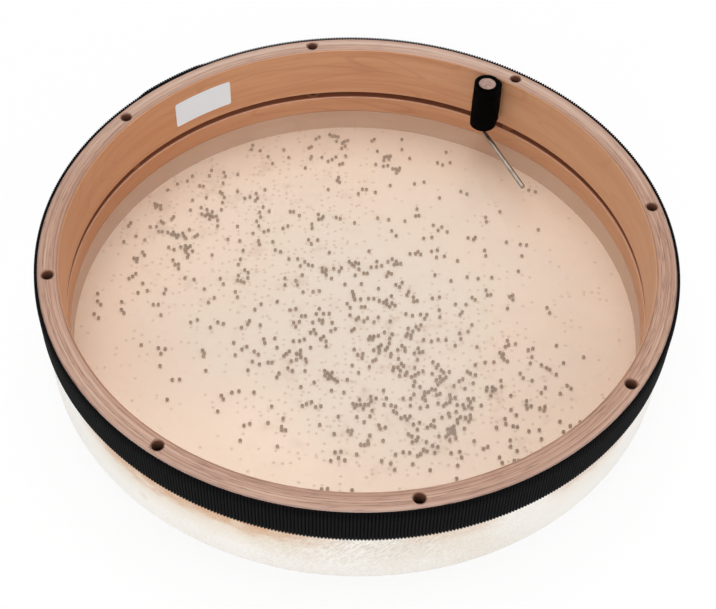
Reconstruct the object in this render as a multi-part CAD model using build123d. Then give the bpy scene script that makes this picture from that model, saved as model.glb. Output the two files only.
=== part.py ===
from build123d import *
import math
import os

# Ocean drum. Three bent plywood hoops stand on one another inside a hide head that wraps round
# them. A clear film between the two lower hoops shuts steel shot into a flat chamber over the hide.
# Eight set screws, sunk in the frame hoop, press the lower hoops down and so stretch the hide.
# Millimetres, +Z up, origin under the middle of the hide.

# Plywood hoops, from the rim down
HOOP_DIAMETER = 400.0
HOOP_WALL = 12.8
FRAME_HEIGHT = 39.6
TUNING_GAP = 4.8
TUNING_HOOP_HEIGHT = 13.0
CHAMBER_HOOP_HEIGHT = 16.7
BEARING_LAND = 3.3
EDGE_BREAK = 0.6

# Heads
HIDE_THICKNESS = 0.6
HIDE_EDGE_BELOW_RIM = 4.0
FILM_THICKNESS = 0.3
FILM_EDGE_INSET = 1.5
WRAP_GAP = 0.3

# Ribbon over the hide's edge
RIBBON_WIDTH = 25.0
RIBBON_THICKNESS = 0.8
RIBBON_LAP_LENGTH = 58.0
RIBBON_LAP_LAYERS = 2
RIBBON_LAP_ANGLE = 133.0

# Steel shot, spread over rings of equal width, named from the middle of the chamber out
SHOT_RINGS = ("inner", "middle", "outer")
SHOT_DIAMETER = 2.4
SHOT_SPACING = 33.0
SHOT_LIFT = 0.1
SHOT_RING_PARTING = 0.6
SHOT_WALL_GAP = 3.0
GOLDEN_ANGLE = 180.0 * (3.0 - math.sqrt(5.0))

# Hexagon key with its wood handle, hung on the inner wall
KEY_HEX = 3.0
KEY_LONG_ARM = 66.0
KEY_SHORT_ARM = 23.0
KEY_BEND_RADIUS = 4.5
KEY_ARM_IN_DOWEL = 15.0
KEY_TIP_CHAMFER = 0.3
DOWEL_DIAMETER = 12.0
DOWEL_LENGTH = 36.9
DOWEL_EDGE = 0.5
SLEEVE_THICKNESS = 3.7
SLEEVE_EDGE = 2.6
PATCH_WIDTH = 12.0
PATCH_HEIGHT = 24.0
PATCH_THICKNESS = 0.6
KEY_ABOVE_RIM = 1.7
KEY_PLACE_ANGLE = 60.4
KEY_ROD_HEADING = -65.4

# Tuning screws, their inserts in the frame hoop and the discs that they press on
SCREW_COUNT = 8
FIRST_SCREW_ANGLE = 146.3
SCREW_DIAMETER = 6.0
SCREW_LENGTH = 35.0
SCREW_CHAMFER = 0.6
SOCKET_DEPTH = 3.5
SOCKET_CLEARANCE = 0.1
THREAD_CLEARANCE = 0.2
INSERT_WALL = 1.3
INSERT_LENGTH = 14.0
INSERT_CHAMFER = 0.4
KEY_HOLE_CLEARANCE = 0.5
KEY_HOLE_EDGE = 0.4
DISC_MARGIN = 1.75
DISC_THICKNESS = 1.5

# Fit of a piece that is pressed or glued into another
SEAT_CLEARANCE = 0.15
PATCH_CLEARANCE = 0.3

# Radii of the hoops, and heights of the faces where the pieces meet
HOOP_OUTER = HOOP_DIAMETER / 2
HOOP_INNER = HOOP_OUTER - HOOP_WALL
SCREW_CIRCLE = HOOP_OUTER - HOOP_WALL / 2
BEARING_RADIUS = HOOP_WALL - BEARING_LAND
HIDE_TOP = HIDE_THICKNESS
CHAMBER_TOP = HIDE_TOP + CHAMBER_HOOP_HEIGHT
FILM_TOP = CHAMBER_TOP + FILM_THICKNESS
TUNING_TOP = FILM_TOP + TUNING_HOOP_HEIGHT
FRAME_BOTTOM = TUNING_TOP + TUNING_GAP
RIM_TOP = FRAME_BOTTOM + FRAME_HEIGHT
HIDE_OUTER = HOOP_OUTER + WRAP_GAP + HIDE_THICKNESS
RIBBON_INNER = HIDE_OUTER + WRAP_GAP
RIBBON_OUTER = RIBBON_INNER + RIBBON_THICKNESS
SHOT_RING_WIDTH = (HOOP_INNER - SHOT_WALL_GAP) / len(SHOT_RINGS)
INSERT_BORE = SCREW_DIAMETER + 2 * THREAD_CLEARANCE
INSERT_DIAMETER = INSERT_BORE + 2 * INSERT_WALL
KEY_HOLE_RADIUS = SCREW_DIAMETER / 2 + KEY_HOLE_CLEARANCE
DISC_DIAMETER = SCREW_DIAMETER + 2 * DISC_MARGIN
SLEEVE_BORE = DOWEL_DIAMETER + 2 * SEAT_CLEARANCE
SLEEVE_DIAMETER = SLEEVE_BORE + 2 * SLEEVE_THICKNESS
PATCH_OUTER = HOOP_INNER - SEAT_CLEARANCE
PATCH_INNER = PATCH_OUTER - PATCH_THICKNESS
KEY_AXIS_RADIUS = PATCH_INNER - PATCH_CLEARANCE - SLEEVE_DIAMETER / 2
DOWEL_BOTTOM = RIM_TOP + KEY_ABOVE_RIM - DOWEL_LENGTH

UPRIGHT = (Align.CENTER, Align.CENTER, Align.MIN)
HANGING = (Align.CENTER, Align.CENTER, Align.MAX)


def turned(lines):
    """Close the lines, drawn as (radius, height), and spin the face once round the Z axis."""
    return revolve(Plane.XZ * make_face(lines), Axis.Z)


def plain_ring(inner, outer, bottom, top, edge=0.0, sharp_foot=False):
    """A ring of rectangular section, its corners, or only its upper ones, broken by a small chamfer."""
    section = Rectangle(outer - inner, top - bottom)
    if edge:
        corners = section.vertices().sort_by(Axis.Y)
        section = chamfer(corners[2:] if sharp_foot else corners, edge)
    middle = Pos((inner + outer) / 2, (bottom + top) / 2)
    return revolve(Plane.XZ * (middle * section), Axis.Z)


def screw_places(height):
    """The places of the tuning screws round the rim, at one height."""
    return Pos(0, 0, height) * PolarLocations(SCREW_CIRCLE, SCREW_COUNT, FIRST_SCREW_ANGLE)


def frame_hoop():
    """The upper hoop, with a key hole from the rim and a wider seat for the insert under it."""
    hoop = plain_ring(HOOP_INNER, HOOP_OUTER, FRAME_BOTTOM, RIM_TOP, EDGE_BREAK)
    key_hole = Cylinder(KEY_HOLE_RADIUS, FRAME_HEIGHT, align=UPRIGHT)
    mouth = Cone(KEY_HOLE_RADIUS, KEY_HOLE_RADIUS + KEY_HOLE_EDGE, KEY_HOLE_EDGE, align=HANGING)
    seat = Cylinder(INSERT_DIAMETER / 2 + SEAT_CLEARANCE, INSERT_LENGTH + SEAT_CLEARANCE, align=UPRIGHT)
    return hoop - screw_places(FRAME_BOTTOM) * (key_hole + Pos(0, 0, FRAME_HEIGHT) * mouth + seat)


def tuning_hoop():
    """The hoop that the screws press down, with a shallow seat under each screw for its disc."""
    hoop = plain_ring(HOOP_INNER, HOOP_OUTER, FILM_TOP, TUNING_TOP, EDGE_BREAK, sharp_foot=True)
    seat = Cylinder(DISC_DIAMETER / 2 + SEAT_CLEARANCE, DISC_THICKNESS, align=HANGING)
    return hoop - screw_places(TUNING_TOP) * seat


def chamber_hoop():
    """The lowest hoop, rounded outside where the hide bends round it, with a flat land inside."""
    bend = CenterArc((HOOP_OUTER - BEARING_RADIUS, HIDE_TOP + BEARING_RADIUS), BEARING_RADIUS, -90, 90)
    wall = Polyline(
        bend @ 1,
        (HOOP_OUTER, CHAMBER_TOP),
        (HOOP_INNER, CHAMBER_TOP),
        (HOOP_INNER, HIDE_TOP),
        bend @ 0,
    )
    return turned([bend, wall])


def clear_head():
    """The film, held between the two lower hoops."""
    return Pos(0, 0, CHAMBER_TOP) * Cylinder(HOOP_OUTER - FILM_EDGE_INSET, FILM_THICKNESS, align=UPRIGHT)


def hide_head():
    """The hide: a flat head, a round bend under the chamber hoop, and the wrap up the outside."""
    top = RIM_TOP - HIDE_EDGE_BELOW_RIM
    bend_centre = (HOOP_OUTER + WRAP_GAP - BEARING_RADIUS, HIDE_TOP + BEARING_RADIUS)
    outside = CenterArc(bend_centre, BEARING_RADIUS + HIDE_THICKNESS, -90, 90)
    inside = CenterArc(bend_centre, BEARING_RADIUS, -90, 90)
    wrap = Polyline(outside @ 1, (HIDE_OUTER, top), (HIDE_OUTER - HIDE_THICKNESS, top), inside @ 1)
    head = Polyline(inside @ 0, (0, HIDE_TOP), (0, 0), outside @ 0)
    return turned([outside, wrap, inside, head])


def trim_ribbon():
    """The ribbon round the rim; its end, folded under, laps over its start."""
    bottom = RIM_TOP - RIBBON_WIDTH
    ribbon = plain_ring(RIBBON_INNER, RIBBON_OUTER, bottom, RIM_TOP)
    lap_degrees = math.degrees(RIBBON_LAP_LENGTH / RIBBON_OUTER)
    lap_thickness = RIBBON_LAP_LAYERS * RIBBON_THICKNESS
    lap_middle = Pos(RIBBON_OUTER + lap_thickness / 2, bottom + RIBBON_WIDTH / 2)
    lap_section = lap_middle * Rectangle(lap_thickness, RIBBON_WIDTH)
    lap = revolve(Plane.XZ * lap_section, Axis.Z, revolution_arc=lap_degrees)
    return ribbon + Rot(0, 0, RIBBON_LAP_ANGLE - lap_degrees / 2) * lap


def tuning_screw():
    """A headless set screw, standing on its tip, with a hexagon socket in its top end."""
    body = Cylinder(SCREW_DIAMETER / 2, SCREW_LENGTH, align=UPRIGHT)
    body = chamfer(body.edges().filter_by(GeomType.CIRCLE), SCREW_CHAMFER)
    hexagon = RegularPolygon((KEY_HEX + SOCKET_CLEARANCE) / 2, 6, major_radius=False)
    return body - Pos(0, 0, SCREW_LENGTH - SOCKET_DEPTH) * extrude(hexagon, SOCKET_DEPTH)


def threaded_insert():
    """The sleeve that a screw turns in, flush with the frame hoop's lower face."""
    return plain_ring(INSERT_BORE / 2, INSERT_DIAMETER / 2, 0, INSERT_LENGTH, INSERT_CHAMFER)


def shot_group(ring_index):
    """Steel balls of one ring of the chamber, spread evenly by the golden angle."""
    margin = (SHOT_DIAMETER + SHOT_RING_PARTING) / 2
    inside = ring_index * SHOT_RING_WIDTH + margin
    outside = (ring_index + 1) * SHOT_RING_WIDTH - margin
    height = HIDE_TOP + SHOT_LIFT + SHOT_DIAMETER / 2
    count = round(math.pi * (outside**2 - inside**2) / SHOT_SPACING**2)
    balls = []
    for ball in range(count):
        share = (ball + 0.5) / count
        radius = math.sqrt(inside**2 + share * (outside**2 - inside**2))
        place = Rot(0, 0, ball * GOLDEN_ANGLE) * Pos(radius, 0, height)
        balls.append(place * Sphere(SHOT_DIAMETER / 2))
    return balls


def key_place():
    """Where the dowel's lower end stands beside the wall, turned so that +X is the rod's heading."""
    angle = math.radians(KEY_PLACE_ANGLE)
    foot = (KEY_AXIS_RADIUS * math.cos(angle), KEY_AXIS_RADIUS * math.sin(angle), DOWEL_BOTTOM)
    return Location(foot, (0, 0, KEY_ROD_HEADING))


def key_rod():
    """The hexagon rod: a short arm down out of the dowel, a bend, and a long arm lying level."""
    level = KEY_HEX / 2 + KEY_ARM_IN_DOWEL - KEY_SHORT_ARM
    reach = KEY_LONG_ARM - KEY_HEX / 2
    path = FilletPolyline((0, 0, KEY_ARM_IN_DOWEL), (0, 0, level), (reach, 0, level), radius=KEY_BEND_RADIUS)
    start = Plane(origin=path @ 0, z_dir=path % 0)
    rod = sweep(start * RegularPolygon(KEY_HEX / 2, 6, major_radius=False), path=path)
    tip = rod.faces().sort_by(Axis.X)[-1]
    return chamfer(tip.edges(), KEY_TIP_CHAMFER)


def key_dowel():
    """The wood handle, with a blind hole in its lower end for the rod."""
    dowel = Cylinder(DOWEL_DIAMETER / 2, DOWEL_LENGTH, align=UPRIGHT)
    dowel = chamfer(dowel.edges().filter_by(GeomType.CIRCLE), DOWEL_EDGE)
    hole_radius = KEY_HEX / math.sqrt(3) + SEAT_CLEARANCE
    return dowel - Cylinder(hole_radius, KEY_ARM_IN_DOWEL, align=UPRIGHT)


def key_sleeve():
    """The soft black sleeve round the dowel, its ends rounded over."""
    sleeve = Cylinder(SLEEVE_DIAMETER / 2, DOWEL_LENGTH, align=UPRIGHT)
    sleeve = fillet(sleeve.edges().filter_by(GeomType.CIRCLE), SLEEVE_EDGE)
    return sleeve - Cylinder(SLEEVE_BORE / 2, DOWEL_LENGTH, align=UPRIGHT)


def key_patch():
    """The patch of hook tape that holds the key's sleeve, curved to the wall."""
    sweep_degrees = math.degrees(PATCH_WIDTH / PATCH_OUTER)
    middle_height = DOWEL_BOTTOM + (RIM_TOP - DOWEL_BOTTOM) / 2
    section = Pos((PATCH_INNER + PATCH_OUTER) / 2, middle_height) * Rectangle(PATCH_THICKNESS, PATCH_HEIGHT)
    patch = revolve(Plane.XZ * section, Axis.Z, revolution_arc=sweep_degrees)
    return Rot(0, 0, KEY_PLACE_ANGLE - sweep_degrees / 2) * patch


def group(solids):
    """Several separate solids that share one node."""
    return Compound(children=list(solids))


def build_nodes():
    """Every piece of the drum, by node name."""
    key = key_place()
    nodes = {
        "frame_hoop": frame_hoop(),
        "tuning_hoop": tuning_hoop(),
        "chamber_hoop": chamber_hoop(),
        "clear_head": clear_head(),
        "hide_head": hide_head(),
        "trim_ribbon": trim_ribbon(),
        "threaded_inserts": group(place * threaded_insert() for place in screw_places(FRAME_BOTTOM)),
        "thrust_discs": group(
            place * Cylinder(DISC_DIAMETER / 2, DISC_THICKNESS, align=HANGING)
            for place in screw_places(TUNING_TOP)
        ),
        "key_rod": key * key_rod(),
        "key_dowel": key * key_dowel(),
        "key_sleeve": key * key_sleeve(),
        "key_patch": key_patch(),
    }
    for number, place in enumerate(screw_places(TUNING_TOP), start=1):
        nodes[f"tuning_screw_{number}"] = place * tuning_screw()
    for ring_index, ring in enumerate(SHOT_RINGS):
        nodes[f"shot_{ring}"] = group(shot_group(ring_index))
    return nodes


os.makedirs("parts", exist_ok=True)
for name, shape in build_nodes().items():
    export_step(shape, os.path.join("parts", f"{name}.step"))
    print(f"{name}: {len(shape.solids())} solids, {shape.volume:.0f} mm3")
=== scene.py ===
# %% [markdown]
# # An ocean drum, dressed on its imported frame
# The real drum is three bent plywood hoops inside one hide, with a clear film across the two lower
# hoops and steel shot that rolls loose between film and hide. The frame already holds every rigid
# piece at its real size. This lesson keeps the hoops, the inserts, the discs, the key's dowel and
# its tape, works out the soft and the fine pieces as surfaces, and gives each surface its finish.

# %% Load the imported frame
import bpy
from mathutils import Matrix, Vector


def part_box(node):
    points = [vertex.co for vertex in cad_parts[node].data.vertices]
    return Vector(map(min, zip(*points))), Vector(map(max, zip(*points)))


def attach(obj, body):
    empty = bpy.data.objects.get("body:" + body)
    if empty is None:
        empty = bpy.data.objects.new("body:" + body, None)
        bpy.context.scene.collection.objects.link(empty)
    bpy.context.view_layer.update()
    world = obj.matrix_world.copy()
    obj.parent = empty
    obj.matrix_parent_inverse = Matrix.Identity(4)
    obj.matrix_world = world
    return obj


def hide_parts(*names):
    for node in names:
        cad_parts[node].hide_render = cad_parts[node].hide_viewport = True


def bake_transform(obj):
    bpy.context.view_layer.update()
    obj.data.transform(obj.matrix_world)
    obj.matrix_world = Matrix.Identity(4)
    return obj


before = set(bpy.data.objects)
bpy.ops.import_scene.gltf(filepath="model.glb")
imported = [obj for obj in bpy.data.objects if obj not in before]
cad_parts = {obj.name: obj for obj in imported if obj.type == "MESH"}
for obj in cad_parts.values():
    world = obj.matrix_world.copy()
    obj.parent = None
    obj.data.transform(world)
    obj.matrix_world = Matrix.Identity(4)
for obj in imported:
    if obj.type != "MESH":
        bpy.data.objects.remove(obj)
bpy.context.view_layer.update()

import math

import bpy
import numpy as np
from mathutils import Matrix

# %% [markdown]
# ## Sizes that the frame gives
# A dressed piece has to meet the piece that carries it, so its sizes are read from the frame
# instead of being typed again. The hoops are rings, and the distance of their points from the
# drum's axis gives their radii.

# %% Read radii and heights
MM = 0.001


def node_points(node):
    """Every point of a CAD node as a row of x, y, z in metres."""
    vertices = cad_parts[node].data.vertices
    flat = np.empty(len(vertices) * 3, np.float32)
    vertices.foreach_get("co", flat)
    return flat.reshape(-1, 3).astype(float)


def radii(node):
    """The least and the greatest distance of a node's points from the drum's axis."""
    distance = np.hypot(*node_points(node)[:, :2].T)
    return distance.min(), distance.max()


def heights(node):
    """The lowest and the highest point of a node."""
    return [corner.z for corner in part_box(node)]


HOOP_INNER, HOOP_OUTER = radii("frame_hoop")
HOOP_WALL = HOOP_OUTER - HOOP_INNER
FRAME_BOTTOM, RIM_TOP = heights("frame_hoop")
TUNING_TOP = heights("tuning_hoop")[1]
FILM_BOTTOM, FILM_TOP = heights("clear_head")
FILM_RADIUS = radii("clear_head")[1]
HIDE_OUTER = radii("hide_head")[1]
HIDE_EDGE = heights("hide_head")[1]
RIBBON_INNER = radii("trim_ribbon")[0]
RIBBON_BOTTOM = heights("trim_ribbon")[0]
SCREW_COUNT = 8
SCREW_TOP = heights("tuning_screw_1")[1]
screw_x, screw_y = node_points("tuning_screw_1")[:, :2].mean(axis=0)
SCREW_CIRCLE = math.hypot(screw_x, screw_y)
SCREW_HEADING = math.atan2(screw_y, screw_x)
print(f"hoop radii {HOOP_INNER / MM:.1f} to {HOOP_OUTER / MM:.1f} mm, rim at {RIM_TOP / MM:.1f} mm")

# %% [markdown]
# ## The camera
# The photograph's camera was worked out from the rim: its ellipse, and eight holes that are evenly
# spaced on it, fix the lens, the height and the slight roll. A camera's matrix is just its right,
# up and backward directions in columns, so no target object is needed.

# %% Set the camera
LENS = 68.62
AIM = np.array([1.18 * MM, -53.64 * MM, RIM_TOP])
CAMERA_DISTANCE = 826.6 * MM
CAMERA_ELEVATION = math.radians(49.49)
CAMERA_ROLL = math.radians(1.88)
CLIP_START = 10 * MM

camera = bpy.data.objects.new("photo_camera", bpy.data.cameras.new("photo_camera"))
camera.data.lens = LENS
camera.data.clip_start = CLIP_START
back = np.array([0.0, -math.cos(CAMERA_ELEVATION), math.sin(CAMERA_ELEVATION)])
level_right = np.array([1.0, 0.0, 0.0])
level_up = np.array([0.0, math.sin(CAMERA_ELEVATION), math.cos(CAMERA_ELEVATION)])
right = level_right * math.cos(CAMERA_ROLL) + level_up * math.sin(CAMERA_ROLL)
up = level_up * math.cos(CAMERA_ROLL) - level_right * math.sin(CAMERA_ROLL)
place = np.eye(4)
place[:3] = np.column_stack([right, up, back, AIM + back * CAMERA_DISTANCE])
camera.matrix_world = Matrix(place.tolist())
scene = bpy.context.scene
scene.collection.objects.link(camera)
scene.camera = camera
scene.view_settings.view_transform = "Standard"
print("camera at", np.round(place[:3, 3], 3), "with a", LENS, "mm lens")

# %% [markdown]
# ## Shader maths as Python
# Finishes are mostly arithmetic on where a point lies: its distance from the axis, its height, a
# noise. Wiring Math nodes by hand hides that arithmetic, so a small class lets a socket be added,
# multiplied and subtracted like a number. A second class collects the nodes of one finish.

# %% A socket that does arithmetic
class Socket:
    """One output of a shader node; arithmetic with it adds Math nodes to the same finish."""

    def __init__(self, finish, output):
        self.finish = finish
        self.output = output

    def __add__(self, other):
        return self.finish.maths("ADD", self, other)

    __radd__ = __add__

    def __sub__(self, other):
        return self.finish.maths("SUBTRACT", self, other)

    def __rsub__(self, other):
        return self.finish.maths("SUBTRACT", other, self)

    def __mul__(self, other):
        return self.finish.maths("MULTIPLY", self, other)

    __rmul__ = __mul__

    def __truediv__(self, other):
        return self.finish.maths("DIVIDE", self, other)

    def __pow__(self, other):
        return self.finish.maths("POWER", self, other)

    def __abs__(self):
        return self.finish.maths("ABSOLUTE", self)


class Finish:
    """The shader nodes of a material, or of the world."""

    def __init__(self, owner):
        owner.use_nodes = True
        self.owner = owner
        self.tree = owner.node_tree
        self.tree.nodes.clear()

    def node(self, kind, settings=None, sockets=None, output=0):
        """Add a node, apply its settings, feed its sockets and hand back one of its outputs."""
        made = self.tree.nodes.new(kind)
        for name, value in (settings or {}).items():
            if name == "stops":
                self.set_stops(made.color_ramp, value)
            else:
                setattr(made, name, value)
        for name, value in (sockets or {}).items():
            if isinstance(value, Socket):
                self.tree.links.new(value.output, made.inputs[name])
            else:
                made.inputs[name].default_value = value
        return Socket(self, made.outputs[output]) if made.outputs else None

    def set_stops(self, ramp, stops):
        """Give a colour ramp its stops, pairs of place and colour."""
        ramp.elements.remove(ramp.elements[1])
        ramp.elements[0].position, ramp.elements[0].color = stops[0]
        for position, colour in stops[1:]:
            ramp.elements.new(position).color = colour

    def maths(self, operation, *values):
        """A Math node, also for an operation that Python has no sign for."""
        return self.node("ShaderNodeMath", {"operation": operation}, dict(enumerate(values)))

    def length(self, first, second):
        """The length of a line that runs first one way and second across it: the root of their squares."""
        return (first * first + second * second) ** 0.5

    def split(self, vector):
        """The three parts of a vector."""
        first = self.node("ShaderNodeSeparateXYZ", sockets={"Vector": vector})
        return [Socket(self, output) for output in first.output.node.outputs]

    def join(self, x, y, z):
        """A vector from three parts."""
        return self.node("ShaderNodeCombineXYZ", sockets={"X": x, "Y": y, "Z": z})

    def noise(self, vector, scale, detail=2.0, roughness=0.5, distortion=0.0, depth=None):
        """Soft noise from 0 to 1; depth is a fourth coordinate, used to draw it out into layers."""
        sockets = {"Vector": vector, "Scale": scale, "Detail": detail, "Roughness": roughness}
        sockets["Distortion"] = distortion
        settings = {"noise_dimensions": "3D"}
        if depth is not None:
            settings = {"noise_dimensions": "4D"}
            sockets["W"] = depth
        return self.node("ShaderNodeTexNoise", settings, sockets)

    def step(self, value, start, end):
        """A soft step from 0 at start to 1 at end; it falls instead where start is the larger."""
        settings = {"interpolation_type": "SMOOTHSTEP"}
        return self.node("ShaderNodeMapRange", settings, {0: value, 1: start, 2: end})

    def blend(self, share, first, second):
        """A colour between two, by share."""
        return self.node("ShaderNodeMix", {"data_type": "RGBA"}, {0: share, 6: first, 7: second}, output=2)

    def glaze(self, colour, *layers):
        """A colour with others laid over it in turn; each layer is a pair of its share and its colour."""
        for share, over in layers:
            colour = self.blend(share, colour, over)
        return colour

    def ramp(self, value, stops):
        """A colour looked up on a ramp."""
        return self.node("ShaderNodeValToRGB", {"stops": stops}, {0: value})

    def bump(self, height, distance, strength=1.0):
        """A normal that leans as if the surface rose by height times distance."""
        return self.node(
            "ShaderNodeBump", sockets={"Height": height, "Distance": distance, "Strength": strength}
        )

    def surface(self, **sockets):
        """Close the finish with a Principled shader; socket names are written with underscores."""
        named = {name.replace("_", " "): value for name, value in sockets.items()}
        shader = self.node("ShaderNodeBsdfPrincipled", sockets=named)
        self.node("ShaderNodeOutputMaterial", sockets={"Surface": shader})
        return self.owner


def new_finish(name):
    """An empty finish for a new material, and where its shaded point lies in the drum's own frame."""
    finish = Finish(bpy.data.materials.new(name))
    return finish, finish.node("ShaderNodeTexCoord", output="Object")


def tone(red, green, blue):
    """A colour from the 0 to 255 numbers of a picture, turned into the linear values of shaders."""
    share = np.array([red, green, blue]) / 255
    linear = np.where(share <= 0.04045, share / 12.92, ((share + 0.055) / 1.055) ** 2.4)
    return (*linear.tolist(), 1.0)


print("shader helpers ready")

# %% [markdown]
# ## The studio
# The photograph is a cut-out on white: broad soft light from above and a little behind, weaker
# light from the front and the right, and no visible horizon. The floor and the sky give camera
# rays plain white, and give all other rays a calm level of light, so that the white picture
# doesn't flood the drum.

# %% Light the floor and the sky
SKY_LEVEL = 0.40
FLOOR_SIZE = 6.0
FLOOR_DROP = 0.3 * MM
FLOOR_WHITE = tone(243, 243, 243)
WHITE = (1.0, 1.0, 1.0, 1.0)
FLOOR_GLOW = 0.86
FLOOR_NEAR = 0.28
FLOOR_FAR = 0.80
LAMPS = {
    # place and size in metres, power in watts
    "softbox_above": ((-0.12, 0.32, 1.45), 1.1, 13.5),
    "softbox_front": ((-0.25, -1.15, 0.65), 0.9, 6.0),
    "softbox_right": ((1.05, -0.10, 0.65), 0.9, 3.0),
}


def seen_directly(finish):
    """1 for rays that show the background itself: from the camera, in a mirror or through glass."""
    outputs = finish.node("ShaderNodeLightPath").output.node.outputs
    camera_ray, glossy, through = (
        Socket(finish, outputs[name]) for name in ("Is Camera Ray", "Is Glossy Ray", "Is Transmission Ray")
    )
    return finish.maths("MINIMUM", camera_ray + glossy + through, 1.0)


def light_sky():
    """A white sky at a calm level, plain white where it is seen."""
    sky = Finish(bpy.data.worlds.new("studio_sky"))
    strength = SKY_LEVEL + (1 - SKY_LEVEL) * seen_directly(sky)
    shader = sky.node("ShaderNodeBackground", sockets={"Color": WHITE, "Strength": strength})
    sky.node("ShaderNodeOutputWorld", sockets={"Surface": shader})
    return sky.owner


def floor_finish():
    """Matt white paper that glows to the camera, less near the drum, so that its shadow isn't lost."""
    paper, point = new_finish("studio_floor")
    x, y, _ = paper.split(point)
    far = paper.step(paper.length(x, y), FLOOR_NEAR, FLOOR_FAR)
    matt = paper.node("ShaderNodeBsdfDiffuse", sockets={"Color": FLOOR_WHITE})
    glow = paper.node("ShaderNodeEmission", sockets={"Color": WHITE, "Strength": 1.0})
    share = (FLOOR_GLOW + (1 - FLOOR_GLOW) * far) * seen_directly(paper)
    shader = paper.node("ShaderNodeMixShader", sockets={0: share, 1: matt, 2: glow})
    paper.node("ShaderNodeOutputMaterial", sockets={"Surface": shader})
    return paper.owner


def area_lamp(name, place, size, power):
    """A square soft lamp that looks at the middle of the drum."""
    lamp = bpy.data.objects.new(name, bpy.data.lights.new(name, "AREA"))
    lamp.data.size = size
    lamp.data.energy = power
    lamp.location = place
    to_lamp = lamp.location.normalized()
    lamp.rotation_euler = to_lamp.to_track_quat("Z", "Y").to_euler()
    scene.collection.objects.link(lamp)


scene.world = light_sky()
half = FLOOR_SIZE / 2
floor_mesh = bpy.data.meshes.new("studio_floor")
corner_signs = ((-1, -1), (1, -1), (1, 1), (-1, 1))
floor_corners = [(x * half, y * half, -FLOOR_DROP) for x, y in corner_signs]
floor_mesh.from_pydata(floor_corners, [], [(0, 1, 2, 3)])
floor_mesh.materials.append(floor_finish())
floor = bpy.data.objects.new("studio_floor", floor_mesh)
scene.collection.objects.link(floor)
for lamp_name, lamp_settings in LAMPS.items():
    area_lamp(lamp_name, *lamp_settings)
print("studio: sky, floor and", len(LAMPS), "lamps")

# %% [markdown]
# ## From arrays to pieces
# Every new piece is a grid of points worked out at once with numpy. The helpers below make the
# faces between neighbouring grid points, cap the ends, and turn the faces outwards by the sign of
# the volume that they enclose, so no piece has to care which way round its grid runs. What is made
# by hand or has shrunk is never quite even, and a few sines that cross each other give that.

# %% Mesh helpers
def grid_faces(rows, columns, close_rows=False, close_columns=True):
    """Quads between neighbours on a grid; a closed direction joins its last line to its first."""
    row, column = np.meshgrid(
        np.arange(rows if close_rows else rows - 1),
        np.arange(columns if close_columns else columns - 1),
        indexing="ij",
    )
    next_row = (row + 1) % rows
    next_column = (column + 1) % columns
    corners = [
        row * columns + column,
        row * columns + next_column,
        next_row * columns + next_column,
        next_row * columns + column,
    ]
    return np.stack(corners, axis=-1).reshape(-1, 4)


def fan_faces(start, columns, centre, backwards):
    """Triangles from a centre point to a closed line of points that begins at start."""
    line = start + np.arange(columns)
    after = start + (np.arange(columns) + 1) % columns
    middle = np.full(columns, centre)
    return np.stack([after, line, middle] if backwards else [line, after, middle], axis=-1)


def enclosed_volume(points, faces):
    """Volume inside a closed mesh: the sum of the tetrahedra from the origin to each triangle."""
    total = 0.0
    for polygon in faces:
        for corner in range(1, polygon.shape[1] - 1):
            first, second, third = (points[polygon[:, k]] for k in (0, corner, corner + 1))
            total += np.einsum("ij,ij->", first, np.cross(second, third)) / 6
    return total


def capped_grid(points):
    """Close a tube of (rows, columns) points with a centre point and a fan at both ends."""
    rows, columns = points.shape[:2]
    ends = np.stack([points[0].mean(axis=0), points[-1].mean(axis=0)])
    everything = np.concatenate([points.reshape(-1, 3), ends])
    count = rows * columns
    fans = [
        fan_faces(0, columns, count, backwards=True),
        fan_faces(count - columns, columns, count + 1, backwards=False),
    ]
    return everything, [grid_faces(rows, columns), np.concatenate(fans)]


def closed_grid(points):
    """Join a grid of (rows, columns) points to itself both ways, so that it needs no cap."""
    return points.reshape(-1, 3), [grid_faces(*points.shape[:2], close_rows=True)]


def new_piece(name, points, faces, material, slot=None, sharp_degrees=35.0):
    """A mesh object at the origin with its faces outwards, smooth except at its sharp edges."""
    if enclosed_volume(points, faces) < 0:
        faces = [polygon[:, ::-1] for polygon in faces]
    mesh = bpy.data.meshes.new(name)
    mesh.from_pydata(points.tolist(), [], [face for polygon in faces for face in polygon.tolist()])
    mesh.validate()
    mesh.shade_smooth()
    mesh.set_sharp_from_angle(angle=math.radians(sharp_degrees))
    mesh.materials.append(material)
    piece = bpy.data.objects.new(name, mesh)
    scene.collection.objects.link(piece)
    print(f"{name}: {len(mesh.polygons)} faces")
    return piece


def dress(node, material):
    """Give a CAD node's own object a finish in place of its plain one."""
    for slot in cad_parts[node].material_slots:
        slot.material = material


def spun(radius, height, angles):
    """Points at a radius and a height over (profile, angle), turned about the drum's axis."""
    radius, height, angles = np.broadcast_arrays(radius, height, angles)
    return np.stack([radius * np.cos(angles), radius * np.sin(angles), height], axis=-1)


def turn(count):
    """Evenly spaced angles of one full turn."""
    return np.linspace(0, 2 * np.pi, count, endpoint=False)


def smooth(value):
    """A soft step from 0 to 1."""
    share = np.clip(value, 0, 1)
    return share * share * (3 - 2 * share)


def crossing_waves(first, second, waves):
    """A sum of sines from -1 to 1; each wave has a size, its pace along both directions and a phase."""
    total = sum(size for size, *_ in waves)
    sines = [size * np.sin(pace * first + climb * second + phase) for size, pace, climb, phase in waves]
    return sum(sines) / total


print("mesh helpers ready")

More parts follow.
